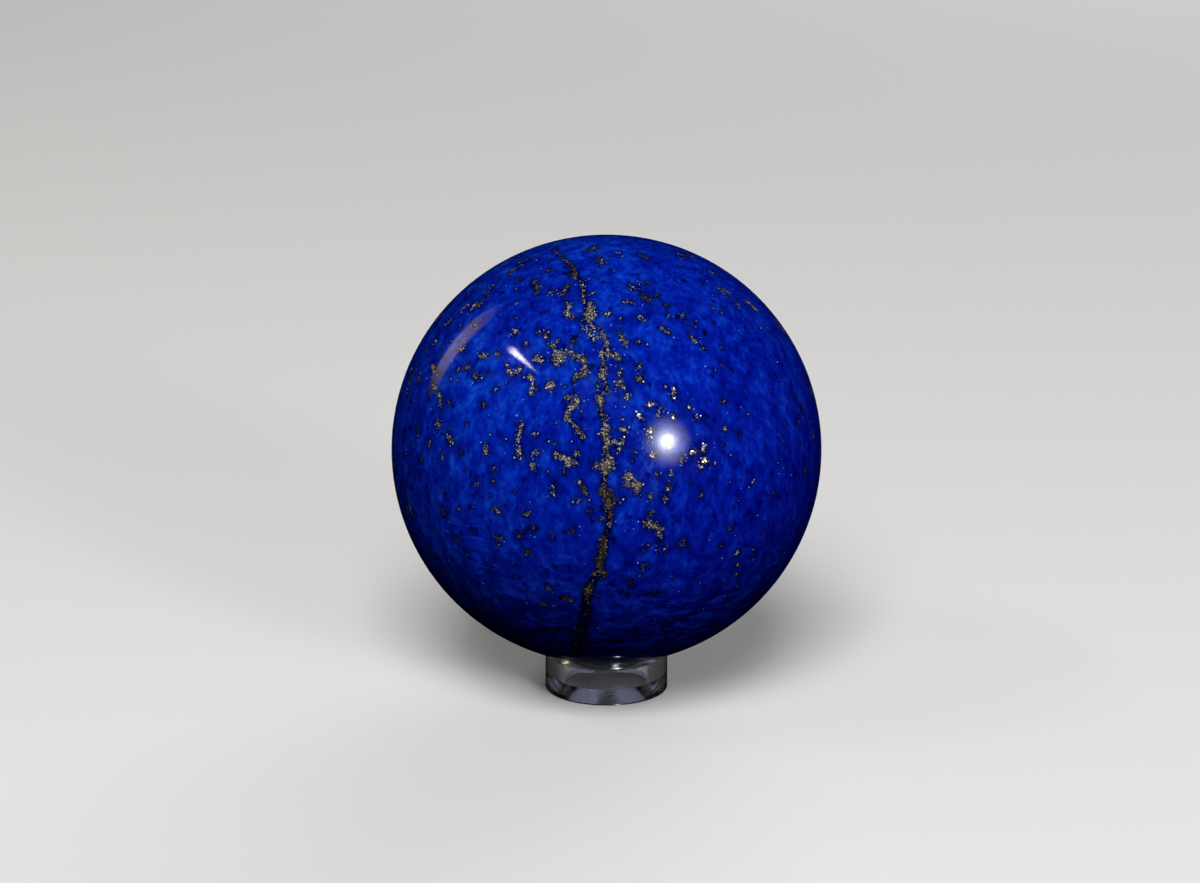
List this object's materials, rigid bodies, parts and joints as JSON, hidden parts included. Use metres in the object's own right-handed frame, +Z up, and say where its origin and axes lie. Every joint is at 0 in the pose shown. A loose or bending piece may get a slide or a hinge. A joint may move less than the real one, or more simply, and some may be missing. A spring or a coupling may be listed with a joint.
{
  "type": "decorative stone sphere on a clear ring stand",
  "caption": "Polished lapis lazuli sphere with pyrite veins, resting on a short clear acrylic ring stand.",
  "frame": {"origin": "centre of the ring stand's underside, on the surface that it stands on", "axes": "+Z up along the common axis of the ring and the sphere; the side that the picture shows faces -Y"},
  "size_m": [0.088, 0.088, 0.0951],
  "materials": {
    "lapis_lazuli": "deep blue mottled stone with brassy pyrite veins, hand polished to a gloss",
    "clear_acrylic": "water-clear moulded acrylic, polished"
  },
  "bodies": {
    "root": {"lapis_sphere": "lapis_lazuli", "clear_ring_stand": "clear_acrylic"}
  },
  "joints": []
}
